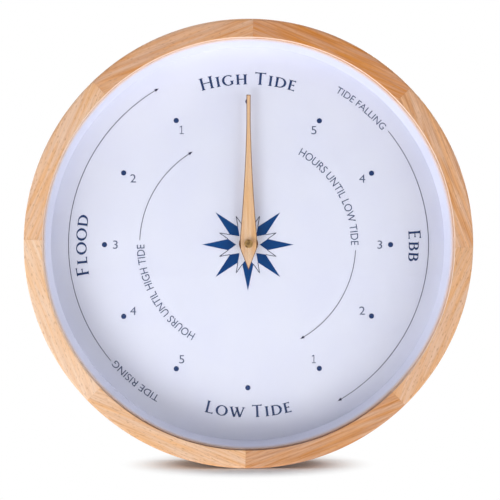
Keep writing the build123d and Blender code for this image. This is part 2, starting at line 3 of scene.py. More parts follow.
import bmesh
import bpy
import numpy as np
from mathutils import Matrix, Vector


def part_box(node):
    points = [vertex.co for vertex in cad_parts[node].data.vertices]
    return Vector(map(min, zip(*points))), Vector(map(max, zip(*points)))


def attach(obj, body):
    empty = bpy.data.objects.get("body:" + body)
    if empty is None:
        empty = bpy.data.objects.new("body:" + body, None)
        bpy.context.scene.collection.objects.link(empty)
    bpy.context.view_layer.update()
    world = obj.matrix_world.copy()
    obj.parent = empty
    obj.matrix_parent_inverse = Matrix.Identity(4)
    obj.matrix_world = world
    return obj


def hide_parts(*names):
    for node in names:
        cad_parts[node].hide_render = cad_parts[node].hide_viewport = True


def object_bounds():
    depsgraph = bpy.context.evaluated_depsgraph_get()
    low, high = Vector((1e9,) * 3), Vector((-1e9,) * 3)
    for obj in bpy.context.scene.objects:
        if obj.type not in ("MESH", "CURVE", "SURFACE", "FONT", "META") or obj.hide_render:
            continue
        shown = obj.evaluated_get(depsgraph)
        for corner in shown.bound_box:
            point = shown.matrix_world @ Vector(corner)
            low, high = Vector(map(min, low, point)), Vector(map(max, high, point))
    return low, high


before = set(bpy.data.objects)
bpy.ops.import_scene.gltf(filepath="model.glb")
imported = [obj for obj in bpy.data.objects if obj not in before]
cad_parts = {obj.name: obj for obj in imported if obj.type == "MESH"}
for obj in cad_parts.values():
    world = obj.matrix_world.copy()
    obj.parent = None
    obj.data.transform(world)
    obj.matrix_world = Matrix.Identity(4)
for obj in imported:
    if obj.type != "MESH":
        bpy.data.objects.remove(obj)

cad_low, cad_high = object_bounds()


# Beech frame: eight pieces sawn from planks, glued end to end and turned into one ring with a lip in front.
# The grain of each piece runs along its own chord, so the tone changes at every joint. The beech is oiled.
# The inner arris of the lip has a painted highlight, pale at the top and sides, and painted shade, browner
# towards the bottom.
ring_middle = (cad_low + cad_high) / 2
segment_count = 8
segment_turn = 2 * math.pi / segment_count
first_joint = math.radians(1.0)
glue_width = 0.00035
glue_share = 0.08
lip_radius = 0.1191
arris_band_width = 0.0004
lip_depth = 0.0025
# Heights over which the painted shade on the lip's arris turns into its painted highlight.
painted_shade_height = ring_middle.z - 0.9 * lip_radius
painted_highlight_height = ring_middle.z - 0.5 * lip_radius
wander_scale = (14, 60, 60)
fibre_scale = (45, 1300, 1300)
fleck_scale = (360, 1500, 1500)
drift_scale = (30, 420, 420)
wander_reach = 0.006
ring_lean = 0.7
rings_per_metre = 560
seed_step = 17.0
fibre_share, streak_share = 0.80, 0.35
bump_depth = 0.0002


def ink(red, green, blue):
    """A colour as it looks on a screen, from 0 to 255, as linear values with full alpha."""
    share = np.array([red, green, blue]) / 255
    linear = np.where(share <= 0.04045, share / 12.92, ((share + 0.055) / 1.055) ** 2.4)
    return (*linear.tolist(), 1.0)


def add_node(tree, kind, inputs, **options):
    """Adds a shader node, sets its options, then sets or links its inputs by name or number."""
    made = tree.nodes.new("ShaderNode" + kind)
    for name, value in options.items():
        setattr(made, name, value)
    for key, value in inputs.items():
        if isinstance(value, bpy.types.NodeSocket):
            tree.links.new(value, made.inputs[key])
        else:
            made.inputs[key].default_value = value
    return made


def maths(tree, operation, *values):
    """The result of a Math node on sockets or numbers."""
    return add_node(tree, "Math", dict(enumerate(values)), operation=operation).outputs[0]


def colour_mix(tree, share, first, second):
    """The first colour where share is 0, the second where it is 1."""
    return add_node(tree, "Mix", {0: share, 6: first, 7: second}, data_type="RGBA").outputs[2]


def ramp(tree, value, low, high, start=0.0, end=1.0):
    """A smooth rise from start to end as value goes from low to high."""
    ends = {"From Min": low, "From Max": high, "To Min": start, "To Max": end}
    return add_node(tree, "MapRange", {"Value": value, **ends}, interpolation_type="SMOOTHSTEP").outputs[0]


def stretched(tree, vector, scales):
    """Coordinates multiplied by a scale for each axis."""
    return add_node(tree, "VectorMath", {0: vector, 1: scales}, operation="MULTIPLY").outputs[0]


def noise(tree, vector, seed, detail=2.0):
    """Noise of size one, moved through its fourth dimension by the seed."""
    inputs = {"Vector": vector, "W": seed, "Scale": 1.0, "Detail": detail}
    return add_node(tree, "TexNoise", inputs, noise_dimensions="4D").outputs[0]


def shader_group(name, inputs, outputs):
    """An empty node group with named sockets, and its input and output nodes."""
    tree = bpy.data.node_groups.new(name, "ShaderNodeTree")
    for side, sockets in (("INPUT", inputs), ("OUTPUT", outputs)):
        for label, kind in sockets.items():
            tree.interface.new_socket(label, in_out=side, socket_type="NodeSocket" + kind)
    given = tree.nodes.new("NodeGroupInput").outputs
    return tree, given, tree.nodes.new("NodeGroupOutput")


def finish_group(tree, result, values):
    """Links each named output of a group to its value."""
    for label, socket in values.items():
        tree.links.new(socket, result.inputs[label])
    return tree


def wood_grain():
    """Growth rings as streaks at equal distances from a bowed line, with fine fibres and dark flecks."""
    tree, given, result = shader_group(
        "wood_grain",
        {"Vector": "Vector", "Seed": "Float", "Bow": "Float", "Fleck": "Float",
         "Pale": "Color", "Dark": "Color", "Pore": "Color"},
        {"Color": "Color", "Roughness": "Float", "Height": "Float"},
    )
    along, deep, across = add_node(tree, "SeparateXYZ", {0: given["Vector"]}).outputs
    wander = noise(tree, stretched(tree, given["Vector"], wander_scale), given["Seed"])
    bowed = maths(tree, "MULTIPLY", maths(tree, "MULTIPLY", along, along), given["Bow"])
    depth = maths(tree, "MULTIPLY_ADD", deep, ring_lean, across)
    ring = maths(tree, "MULTIPLY_ADD", wander, wander_reach, maths(tree, "ADD", depth, bowed))
    first_ring = maths(tree, "MULTIPLY", given["Seed"], seed_step)
    ring_number = maths(tree, "MULTIPLY_ADD", ring, rings_per_metre, first_ring)
    streak = add_node(
        tree, "TexNoise", {"W": ring_number, "Scale": 1.0, "Detail": 2.5}, noise_dimensions="1D"
    ).outputs[0]
    fibre = noise(tree, stretched(tree, given["Vector"], fibre_scale), given["Seed"], 3.0)
    dash = noise(tree, stretched(tree, given["Vector"], fleck_scale), given["Seed"], 1.0)
    fleck = maths(tree, "MULTIPLY", ramp(tree, dash, 0.57, 0.70), given["Fleck"])
    tone = maths(tree, "MULTIPLY_ADD", fibre, fibre_share, maths(tree, "MULTIPLY", streak, streak_share))
    toned = colour_mix(tree, ramp(tree, tone, 0.34, 0.86), given["Pale"], given["Dark"])
    drift = noise(tree, stretched(tree, given["Vector"], drift_scale), given["Seed"], 3.0)
    warmth = ramp(tree, drift, 0.3, 0.7, 0.84, 1.12)
    plain = add_node(tree, "HueSaturation", {"Saturation": warmth, "Color": toned}).outputs[0]
    return finish_group(tree, result, {
        "Color": colour_mix(tree, fleck, plain, given["Pore"]),
        "Roughness": ramp(tree, fibre, 0.2, 0.8, 0.42, 0.58),
        "Height": maths(tree, "SUBTRACT", fibre, fleck),
    })


def glue_line():
    """A mask that is 1 on the two joint planes of a segment, which lie half a segment to each side of it."""
    tree, given, result = shader_group("glue_line", {"Vector": "Vector"}, {"Mask": "Float"})
    along, deep, across = add_node(tree, "SeparateXYZ", {0: given["Vector"]}).outputs
    lean = maths(tree, "MULTIPLY", maths(tree, "ABSOLUTE", along), math.cos(segment_turn / 2))
    inside = maths(tree, "SUBTRACT", maths(tree, "MULTIPLY", across, math.sin(segment_turn / 2)), lean)
    return finish_group(tree, result, {"Mask": ramp(tree, inside, 0.0, glue_width, 1.0, 0.0)})


def worn_lip():
    """A mask that is 1 on the inner arris of the lip, where highlight and shade are painted, by the distances
    from the ring's axis and its front.
    """
    tree, given, result = shader_group("worn_lip", {"Vector": "Vector"}, {"Mask": "Float"})
    flat = stretched(tree, given["Vector"], (1, 0, 1))
    radius = add_node(tree, "VectorMath", {0: flat}, operation="LENGTH").outputs[1]
    near = ramp(tree, radius, lip_radius + arris_band_width / 2, lip_radius + arris_band_width, 1.0, 0.0)
    deep = add_node(tree, "SeparateXYZ", {0: given["Vector"]}).outputs[1]
    front = cad_low.y - ring_middle.y
    shallow = ramp(tree, deep, front + lip_depth / 2, front + lip_depth, 1.0, 0.0)
    return finish_group(tree, result, {"Mask": maths(tree, "MULTIPLY", near, shallow)})


def finish_material(name, **values):
    """A material with a Principled BSDF, whose plain values are set on its own sockets."""
    material = bpy.data.materials.new(name)
    material.use_nodes = True
    tree = material.node_tree
    shader = tree.nodes["Principled BSDF"]
    for label, value in values.items():
        shader.inputs[label.replace("_", " ").title().replace("Ior", "IOR")].default_value = value
    return material, tree, shader


def object_point(tree):
    """The point of the surface in the clock's own frame, in metres."""
    return tree.nodes.new("ShaderNodeTexCoord").outputs["Object"]


def turned_point(tree, middle, turn):
    """The point of the surface as seen from a middle, turned about the clock's axis."""
    inputs = {"Vector": object_point(tree), "Location": middle, "Rotation": (0, turn, 0)}
    return add_node(tree, "Mapping", inputs, vector_type="TEXTURE").outputs[0]


def add_bump(tree, shader, height, strength, depth=bump_depth):
    """Tilts the shader's normal as a surface raised by this height would."""
    raised = add_node(tree, "Bump", {"Height": height, "Strength": strength, "Distance": depth})
    tree.links.new(raised.outputs[0], shader.inputs["Normal"])


def place_group(tree, group, shader, bump, **inputs):
    """Puts a finish's group in a material and links its colour, roughness and height to the shader."""
    made = add_node(tree, "Group", inputs, node_tree=group)
    tree.links.new(made.outputs["Color"], shader.inputs["Base Color"])
    tree.links.new(made.outputs["Roughness"], shader.inputs["Roughness"])
    add_bump(tree, shader, made.outputs["Height"], bump)
    return made


def dress(material, *names):
    """Gives CAD nodes a material."""
    for name in names:
        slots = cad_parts[name].data.materials
        slots.clear()
        slots.append(material)


wood = wood_grain()
glue = glue_line()
lip = worn_lip()
pore_brown = ink(150, 96, 58)
glue_brown = ink(132, 84, 50)
# Colours of the painted shade and the painted highlight on the lip's inner arris.
painted_shade_brown = ink(136, 92, 66)
painted_highlight_pale = ink(248, 218, 195)
# Each segment's pale and dark tones, the bow of its growth rings and the strength of its flecks.
beech_tones = [
    (ink(217, 155, 104), ink(191, 124, 73), 1.6, 0.20),
    (ink(231, 182, 140), ink(191, 132, 88), 0.7, 0.30),
    (ink(229, 183, 144), ink(209, 160, 119), 0.2, 0.45),
    (ink(216, 165, 123), ink(185, 128, 85), 1.9, 0.20),
    (ink(235, 193, 153), ink(213, 163, 121), 0.3, 0.42),
    (ink(242, 205, 171), ink(227, 184, 146), 0.2, 0.36),
    (ink(236, 193, 155), ink(219, 170, 130), 0.4, 0.38),
    (ink(225, 174, 132), ink(205, 148, 105), 0.6, 0.33),
]
for number, (pale, dark, bow, fleck) in enumerate(beech_tones):
    material, tree, shader = finish_material(f"beech_{number + 1}", specular_ior_level=0.35)
    local = turned_point(tree, ring_middle, first_joint + (number + 0.5) * segment_turn)
    grain = place_group(
        tree, wood, shader, bump=0.25,
        Vector=local, Seed=number + 1.0, Bow=bow, Fleck=fleck, Pale=pale, Dark=dark, Pore=pore_brown,
    )
    joint = add_node(tree, "Group", {"Vector": local}, node_tree=glue).outputs["Mask"]
    line = maths(tree, "MULTIPLY", joint, glue_share)
    glued = colour_mix(tree, line, grain.outputs["Color"], glue_brown)
    # The lip's inner arris gets a painted highlight above and painted shade, browner towards the bottom, by
    # height.
    arris_mask = add_node(tree, "Group", {"Vector": local}, node_tree=lip).outputs["Mask"]
    height = add_node(tree, "SeparateXYZ", {0: object_point(tree)}).outputs[2]
    highlight_share = ramp(tree, height, painted_shade_height, painted_highlight_height)
    painted_arris = colour_mix(tree, arris_mask, glued, colour_mix(tree, highlight_share, painted_shade_brown, painted_highlight_pale))
    tree.links.new(painted_arris, shader.inputs["Base Color"])
    dress(material, f"frame_segment_{number + 1}")


# Glass: a flat pane of clear float glass with ground edges, dropped into the rebate behind the lip.
# It is clean, with the faintest wipe marks, and casts no shadow, so that the lamps reach the dial.
wipe_scale = (30, 30, 9)
wipe_roughness = 0.03
material, tree, shader = finish_material("clear_glass", ior=1.46, transmission_weight=1.0)
wipe = noise(tree, stretched(tree, object_point(tree), wipe_scale), 0.0, 4.0)
tree.links.new(ramp(tree, wipe, 0.45, 0.8, 0.0, wipe_roughness), shader.inputs["Roughness"])
dress(material, "lens_glass")
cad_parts["lens_glass"].visible_shadow = False


# White inner ring: a moulded plastic cone between the glass and the dial, in a matt white with a cool tint.
# Its mould leaves a fine orange-peel surface, and close to the lip the warm light bounced from the beech is
# painted into its colour.
ring_plain_radius, painted_bounce_radius = 0.1181, 0.1195
painted_bounce_colour = ink(238, 206, 184)
slow_drift_scale = (40, 40, 40)


def fine_grain():
    """Fine even grain: a slowly drifting colour, with a height and a roughness that change at every point."""
    tree, given, result = shader_group(
        "fine_grain",
        {"Vector": "Vector", "Scale": "Float", "Colour": "Color", "Shade": "Color", "Rough": "Float"},
        {"Color": "Color", "Roughness": "Float", "Height": "Float"},
    )
    inputs = {0: given["Vector"], "Scale": given["Scale"]}
    scaled = add_node(tree, "VectorMath", inputs, operation="SCALE").outputs[0]
    grain = noise(tree, scaled, 0.0, 3.0)
    drift = noise(tree, stretched(tree, given["Vector"], slow_drift_scale), 2.0, 3.0)
    return finish_group(tree, result, {
        "Color": colour_mix(tree, ramp(tree, drift, 0.3, 0.8), given["Colour"], given["Shade"]),
        "Roughness": maths(tree, "ADD", given["Rough"], ramp(tree, grain, 0.2, 0.8, -0.06, 0.06)),
        "Height": grain,
    })


even = fine_grain()
material, tree, shader = finish_material("white_ring", specular_ior_level=0.2)
plain = place_group(
    tree, even, shader, bump=0.05,
    Vector=object_point(tree), Scale=900.0, Colour=ink(230, 233, 251), Shade=ink(226, 229, 248), Rough=0.55,
)
flat = stretched(tree, object_point(tree), (1, 0, 1))
ring_axis = (ring_middle.x, 0, ring_middle.z)
radius = add_node(tree, "VectorMath", {0: flat, 1: ring_axis}, operation="DISTANCE").outputs[1]
# Painted reflected light: the warm bounce from the beech, painted on the ring beside the lip.
bounce_share = ramp(tree, radius, ring_plain_radius, painted_bounce_radius)
bounce_painted = colour_mix(tree, bounce_share, plain.outputs["Color"], painted_bounce_colour)
tree.links.new(bounce_painted, shader.inputs["Base Color"])
dress(material, "inner_ring")


# Dial: a thin aluminium disc, painted matt white and printed in navy and grey.
# Its paint has a faint cool tint and a fine tooth.
def moulded(name, *names, colour, shade, rough, scale, bump, **values):
    """A moulded or painted finish with fine grain, given to CAD nodes."""
    material, tree, shader = finish_material(name, **values)
    place_group(
        tree, even, shader, bump=bump,
        Vector=object_point(tree), Scale=scale, Colour=colour, Shade=shade, Rough=rough,
    )
    dress(material, *names)
    return material


moulded("white_dial", "dial_plate", colour=ink(237, 240, 255), shade=ink(233, 236, 254),
        rough=0.5, scale=1500.0, bump=0.04, specular_ior_level=0.2)


# Hour dots: twelve round dots of navy ink in a circle, one for each hour of the tide.
# All of the print is a film of ink that lies on the dial.
dial_low, dial_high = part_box("dial_plate")
dial_middle = (dial_low + dial_high) / 2
dial_front = dial_low.y
print_right = -0.00025
print_down = 0.00055
print_middle = (dial_middle.x + print_right, dial_middle.z - print_down)
ink_height = 0.00006
ink_sink = 0.00002
dot_circle = 0.0844
dot_radius = 0.00155
dot_count = 12
dot_steps = 25


def ink_finish(name, colour, shade):
    """A dry ink with slightly uneven cover."""
    return moulded(name, colour=colour, shade=shade, rough=0.6, scale=2500.0, bump=0.03,
                   specular_ior_level=0.15)


def polar(radius, turn):
    """Places on the dial, right and up from its middle, at radii and at turns clockwise from the top."""
    return np.stack([radius * np.sin(turn), radius * np.cos(turn)], axis=-1)


def band(path, half_width):
    """The two sides of a flat band: each point of a path moved square to it, by its half-width both ways."""
    step = np.gradient(path, axis=0)
    step /= np.linalg.norm(step, axis=1, keepdims=True)
    side = np.stack([-step[:, 1], step[:, 0]], axis=-1) * half_width[:, None]
    return np.stack([path + side, path - side], axis=1)


def inked(sides):
    """A film of ink over a flat band: a box section carried along it, closed at both ends."""
    count = len(sides)
    top = np.full((count, 2), dial_front - ink_height)
    bottom = np.full((count, 2), dial_front + ink_sink)
    across = np.concatenate([sides, sides[:, ::-1]], axis=1) + print_middle
    depth = np.concatenate([top, bottom], axis=1)
    points = np.stack([across[..., 0], depth, across[..., 1]], axis=-1).reshape(-1, 3)
    row = 4 * np.arange(count - 1)[:, None]
    column = np.arange(4)[None, :]
    following = (column + 1) % 4
    walls = np.stack([row + column, row + following, row + 4 + following, row + 4 + column], axis=-1)
    ends = np.array([[3, 2, 1, 0], np.arange(4) + 4 * (count - 1)])
    return points, np.concatenate([walls.reshape(-1, 4), ends])


def together(parts):
    """Several shapes as one: their points in a row, and their faces counted on."""
    counts = np.cumsum([0] + [len(points) for points, faces in parts[:-1]])
    points = np.concatenate([points for points, faces in parts])
    return points, np.concatenate([faces + start for start, (place, faces) in zip(counts, parts)])


def add_piece(name, points, faces, material, body, slot, smooth=False):
    """A closed mesh with its faces outwards, which rides on a body."""
    mesh = bpy.data.meshes.new(name)
    mesh.from_pydata(points.tolist(), [], faces.tolist())
    shape = bmesh.new()
    shape.from_mesh(mesh)
    bmesh.ops.remove_doubles(shape, verts=shape.verts, dist=1e-7)
    bmesh.ops.recalc_face_normals(shape, faces=shape.faces)
    shape.to_mesh(mesh)
    shape.free()
    mesh.polygons.foreach_set("use_smooth", np.full(len(mesh.polygons), smooth))
    mesh.materials.append(material)
    piece = bpy.data.objects.new(name, mesh)
    bpy.context.scene.collection.objects.link(piece)
    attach(piece, body)
    return piece


def add_print(name, films, finish):
    """Films of ink as one piece, on the dial's paint."""
    add_piece(name, *together(films), finish, "clock_case", "white_dial")


def round_dot(turn):
    """A disc as a band whose half-width is that of the circle at each step."""
    angle = np.linspace(-math.pi / 2, math.pi / 2, dot_steps)
    middle = polar(dot_circle, turn)
    path = middle + np.stack([dot_radius * np.sin(angle), 0 * angle], axis=-1)
    return inked(band(path, np.maximum(dot_radius * np.cos(angle), ink_sink)))


navy_ink = ink_finish("navy_ink", ink(36, 59, 107), ink(44, 67, 115))
turns = 2 * math.pi * np.arange(dot_count) / dot_count
add_print("hour_dots", [round_dot(turn) for turn in turns], navy_ink)


# Hour figures: the hours left to the next tide, counted down from five to one on each side of the dial.
# They stand upright, in thin grey figures. The ones are drawn stroke by stroke, with a flag and a foot.
figure_circle = 0.0780
figure_height = 0.0048
figure_stretch = np.array([1.12, 1.0])
letter_height = 0.682
letter_steps = 5
one_half_width = 0.00024
one_strokes = np.array([
    [(0, -0.5), (0, 0), (0, 0.5)],
    [(0, 0.5), (-0.13, 0.4), (-0.26, 0.33)],
    [(-0.25, -0.46), (0, -0.46), (0.25, -0.46)],
])
half_turns = (0, math.pi)
hour_step = math.pi / 6
grey_ink = ink_finish("grey_ink", ink(84, 94, 124), ink(92, 102, 132))


def letters(text):
    """A line of plain letters of size one, as points and triangles of a thin solid."""
    curve = bpy.data.curves.new(text, "FONT")
    curve.body = text
    curve.extrude = 0.5
    curve.resolution_u = letter_steps
    holder = bpy.data.objects.new(text, curve)
    bpy.context.scene.collection.objects.link(holder)
    graph = bpy.context.evaluated_depsgraph_get()
    mesh = bpy.data.meshes.new_from_object(holder.evaluated_get(graph))
    points = np.empty(3 * len(mesh.vertices))
    mesh.vertices.foreach_get("co", points)
    mesh.calc_loop_triangles()
    faces = np.empty(3 * len(mesh.loop_triangles), dtype=int)
    mesh.loop_triangles.foreach_get("vertices", faces)
    bpy.data.objects.remove(holder)
    bpy.data.curves.remove(curve)
    bpy.data.meshes.remove(mesh)
    return points.reshape(-1, 3), faces.reshape(-1, 3)


def on_dial(flat, depth):
    """Points right and up from the print's middle. A depth from -0.5 to 0.5 becomes that of a film of ink."""
    front = dial_front - ink_height
    back = dial_front + ink_sink
    height = front + (0.5 - depth) * (back - front)
    return np.stack([flat[:, 0] + print_middle[0], height, flat[:, 1] + print_middle[1]], axis=-1)


def hour_figure(text, turn):
    """A figure centred on its place, upright."""
    points, faces = letters(text)
    flat = points[:, :2] * figure_stretch * (figure_height / letter_height)
    flat += polar(figure_circle, turn) - (flat.min(axis=0) + flat.max(axis=0)) / 2
    return on_dial(flat, points[:, 2]), faces


def figure_one(turn):
    """An upright one in three strokes, a stem, a flag at its top and a foot, each a band of even width."""
    middle = polar(figure_circle, turn)
    widths = np.full(3, one_half_width)
    return [inked(band(middle + figure_height * path, widths)) for path in one_strokes]


figures = [
    hour_figure(str(hour), half + (6 - hour) * hour_step)
    for half in half_turns
    for hour in (5, 4, 3, 2)
]
ones = [stroke for half in half_turns for stroke in figure_one(half + 5 * hour_step)]
add_print("hour_figures", figures, grey_ink)
add_print("hour_ones", ones, grey_ink)


# Tide arrows: four thin arcs with small arrowheads, which lead the eye clockwise round the dial.
# The outer pair goes with the rising and falling tide, and is printed a little to the right of the rest.
# The inner pair goes with the hours. Each runs between two turns in degrees, clockwise from the top.
arc_half_width = 0.00019
arc_steps = 90
arrow_length = 0.0026
arrow_half_width = 0.00095
arrow_width_shares = np.array([1.0, 0.66, 0.33, 0.02])
arrow_overlap_share = 0.6
outer_circle = 0.1062
outer_right = 0.0007
inner_circle = 0.0637
arc_ink = ink_finish("arc_ink", ink(40, 40, 72), ink(48, 48, 80))


def tide_arrow(radius, start, end, shift):
    """An arc as a band of even width, then an arrowhead as a band that narrows to a point."""
    turn = np.radians(np.linspace(start, end, arc_steps))
    head_turn = arrow_length / radius
    shaft = turn[turn < turn[-1] - head_turn * arrow_overlap_share]
    arc = inked(band(polar(radius, shaft) + (shift, 0), np.full(len(shaft), arc_half_width)))
    to_tip = head_turn * np.linspace(1.0, 0.0, len(arrow_width_shares))
    head = polar(radius, turn[-1] - to_tip) + (shift, 0)
    return [arc, inked(band(head, arrow_half_width * arrow_width_shares))]


arrows = [
    tide_arrow(outer_circle, 50.75, 150.5, outer_right),
    tide_arrow(outer_circle, 230.0, 330.0, outer_right),
    tide_arrow(inner_circle, 93.0, 151.0, 0.0),
    tide_arrow(inner_circle, 272.5, 329.3, 0.0),
]
add_print("tide_arrows", sum(arrows, []), arc_ink)


# Round words: plain capitals that read clockwise along the start of each arrow.
# They say which way the tide goes and what the hours count down to, in a blue-grey ink.
outer_words_circle, outer_words_height = 0.1035, 0.0040
inner_words_circle, inner_words_height = 0.0609, 0.0045


def round_words(text, radius, height, start, end, shift):
    """A line of letters bent round the dial: across becomes a turn from start to end, and up a radius."""
    points, faces = letters(text)
    left, right = points[:, 0].min(), points[:, 0].max()
    turn = np.radians(start + (end - start) * (points[:, 0] - left) / (right - left))
    rise = radius + points[:, 1] * (height / letter_height)
    return on_dial(polar(rise, turn) + (shift, 0), points[:, 2]), faces


words_ink = ink_finish("words_ink", ink(62, 76, 112), ink(70, 84, 120))
words = [
    round_words("TIDE FALLING", outer_words_circle, outer_words_height, 29.5, 49.25, outer_right),
    round_words("TIDE RISING", outer_words_circle, outer_words_height, 210.5, 229.0, outer_right),
    round_words("HOURS UNTIL LOW TIDE", inner_words_circle, inner_words_height, 29.25, 90.25, 0.0),
    round_words("HOURS UNTIL HIGH TIDE", inner_words_circle, inner_words_height, 210.5, 270.0, 0.0),
]
add_print("tide_words", words, words_ink)


# Tide names: the four states of the tide in navy roman capitals, each with a taller first letter.
# The lower one reads the other way round, so that no name stands on its head.
name_height = 0.0072
stem, hair, serif, tick = 0.062, 0.037, 0.13, 0.085
bowl_swell = 1.08
bowl_thinning = 1.5
letter_gap = 0.10
small_capital = 0.82
word_gap = 0.26
flare_length = 0.12
stroke_steps = 25
bowl_steps = 49
# Each letter has its width, its straight strokes and its bowls, in shares of the height of a capital.
# A stroke has its two ends, its half-width and the half-width of each flared end, where it has one.
# A bowl has its middle, its half-width and half-height, and the turns in degrees between which it runs.
upright_stem = (0.15, 0.0, 0.15, 1.0, stem, serif, serif)
roman_letters = {
    "B": (0.62, [upright_stem, (0.15, 0.04, 0.34, 0.04, hair, 0, 0), (0.15, 0.54, 0.32, 0.54, hair, 0, 0),
                 (0.15, 0.96, 0.32, 0.96, hair, 0, 0)],
          [(0.31, 0.75, 0.19, 0.21, -90, 90), (0.33, 0.29, 0.23, 0.25, -90, 90)]),
    "D": (0.76, [upright_stem, (0.15, 0.04, 0.35, 0.04, hair, 0, 0), (0.15, 0.96, 0.35, 0.96, hair, 0, 0)],
          [(0.33, 0.50, 0.36, 0.46, -90, 90)]),
    "E": (0.56, [upright_stem, (0.15, 0.04, 0.50, 0.04, hair, 0, tick),
                 (0.15, 0.53, 0.42, 0.53, hair, 0, tick), (0.15, 0.96, 0.47, 0.96, hair, 0, tick)], []),
    "F": (0.54, [upright_stem, (0.15, 0.51, 0.41, 0.51, hair, 0, tick),
                 (0.15, 0.96, 0.48, 0.96, hair, 0, tick)], []),
    "G": (0.76, [(0.64, 0.07, 0.64, 0.44, stem, 0, serif)], [(0.41, 0.50, 0.34, 0.48, 48, 312)]),
    "H": (0.78, [upright_stem, (0.63, 0.0, 0.63, 1.0, stem, serif, serif),
                 (0.15, 0.52, 0.63, 0.52, hair, 0, 0)], []),
    "I": (0.30, [upright_stem], []),
    "L": (0.54, [upright_stem, (0.15, 0.04, 0.49, 0.04, hair, 0, tick)], []),
    "O": (0.80, [], [(0.40, 0.50, 0.34, 0.48, 0, 360)]),
    "T": (0.66, [(0.33, 0.0, 0.33, 0.97, stem, serif, 0), (0.05, 0.96, 0.61, 0.96, hair, tick, tick)], []),
    "W": (1.10, [(0.10, 1.0, 0.37, 0.0, stem, serif, 0), (0.37, 0.02, 0.57, 0.92, hair, 0, 0),
                 (0.49, 1.0, 0.75, 0.0, stem, serif, 0), (0.75, 0.02, 1.00, 1.0, hair, 0, serif)], []),
}


def pen_line(x0, y0, x1, y1, half, start_flare, end_flare):
    """A straight stroke with flared ends: the flare falls with the square of what is left of its length."""
    length = math.hypot(x1 - x0, y1 - y0)
    way = length * np.linspace(0, 1, stroke_steps)
    path = np.stack([np.interp(way, [0, length], ends) for ends in ((x0, x1), (y0, y1))], axis=-1)
    swell = [np.clip(1 - reach / flare_length, 0, 1) ** 2 for reach in (way, length - way)]
    return path, half + max(start_flare - half, 0) * swell[0] + max(end_flare - half, 0) * swell[1]


def pen_bowl(x, y, across, up, start, end):
    """A stroke along an ellipse, thick where it runs upright and thin where it runs level."""
    turn = np.radians(np.linspace(start, end, bowl_steps))
    path = np.stack([x + across * np.cos(turn), y + up * np.sin(turn)], axis=-1)
    return path, hair + (stem * bowl_swell - hair) * np.abs(np.cos(turn)) ** bowl_thinning


def roman_words(text, radius, start, end, outward):
    """Letters drawn stroke by stroke on a line, then bent round the dial, tops outward or inward."""
    pen = 0.0
    strokes = []
    for place, letter in enumerate(text):
        size = 1.0 if place == 0 or text[place - 1] == " " else small_capital
        if letter == " ":
            pen += word_gap
            continue
        advance, lines, bowls = roman_letters[letter]
        drawn = [pen_line(*line) for line in lines] + [pen_bowl(*bowl) for bowl in bowls]
        strokes += [band(path * size + (pen, 0), half) for path, half in drawn]
        pen += advance * size + letter_gap
    pen -= letter_gap
    film = []
    for sides in strokes:
        turn = np.radians(start + (end - start) * sides[..., 0] / pen)
        film.append(inked(polar(radius + outward * name_height * sides[..., 1], turn)))
    return together(film)


tide_names = [
    roman_words("HIGH TIDE", radius=0.0945, start=-16.9, end=17.0, outward=1),
    roman_words("EBB", radius=0.0952, start=84.9, end=95.7, outward=1),
    roman_words("FLOOD", radius=0.0950, start=259.1, end=280.2, outward=1),
    roman_words("LOW TIDE", radius=0.1019, start=194.8, end=165.0, outward=-1),
]
add_print("tide_names", tide_names, navy_ink)


# Compass rose: the traditional star of eight blue points, with eight outlined white points between them.
# It is printed round the hand's tube.
rose_count = 8
blue_radii = np.array([0.0070, 0.0116, 0.0269])
blue_half_widths = np.array([0.00004, 0.0033, 0.00004])
white_tip = 0.0181
outline_half_width = 0.00021
rose_blue = ink_finish("rose_blue", ink(0, 60, 122), ink(0, 72, 136))


def blue_point(turn):
    """A kite: a band that widens from the middle outwards and then narrows to its tip."""
    path = polar(blue_radii, np.full(3, turn))
    return inked(band(path, blue_half_widths))


def white_edge(turn, side):
    """One edge of a white point, from its tip to the widest corner of the blue point beside it."""
    tip = polar(white_tip, turn)
    corner_turn = side * (math.pi / rose_count - math.atan2(blue_half_widths[1], blue_radii[1]))
    corner = polar(math.hypot(blue_radii[1], blue_half_widths[1]), turn + corner_turn)
    return inked(band(np.stack([tip, (tip + corner) / 2, corner]), np.full(3, outline_half_width)))


rose_turns = 2 * math.pi * np.arange(rose_count) / rose_count
add_print("rose_points", [blue_point(turn) for turn in rose_turns], rose_blue)
edges = [white_edge(turn + math.pi / rose_count, side) for turn in rose_turns for side in (-1, 1)]
add_print("rose_outlines", edges, arc_ink)


# Backing board: a disc of hardboard behind the dial, brown, with pressed fibres showing on its back.
# Thin steel blades pushed into the beech hold it in the rebate.
level_scale = (170, 600, 1100)
upright_scale = (1100, 600, 170)
board_dark = ink(112, 80, 53)
board_pale = ink(150, 114, 80)
material, tree, shader = finish_material("fibreboard", roughness=0.85, specular_ior_level=0.2)
level = noise(tree, stretched(tree, object_point(tree), level_scale), 0.0, 4.0)
upright = noise(tree, stretched(tree, object_point(tree), upright_scale), 1.0, 4.0)
fibres = maths(tree, "MAXIMUM", level, upright)
pressed = colour_mix(tree, ramp(tree, fibres, 0.46, 0.74), board_dark, board_pale)
tree.links.new(pressed, shader.inputs["Base Color"])
add_bump(tree, shader, fibres, strength=0.4)
dress(material, "backing_board")


# Steel pieces: the framer's blades and the bent hanger bracket, stamped from strip, and the cover's screws.
# All are zinc plated, which leaves a grey bloom over the rolling marks.
marks_scale = (120, 4000, 4000)
patch_scale = (620, 620, 620)


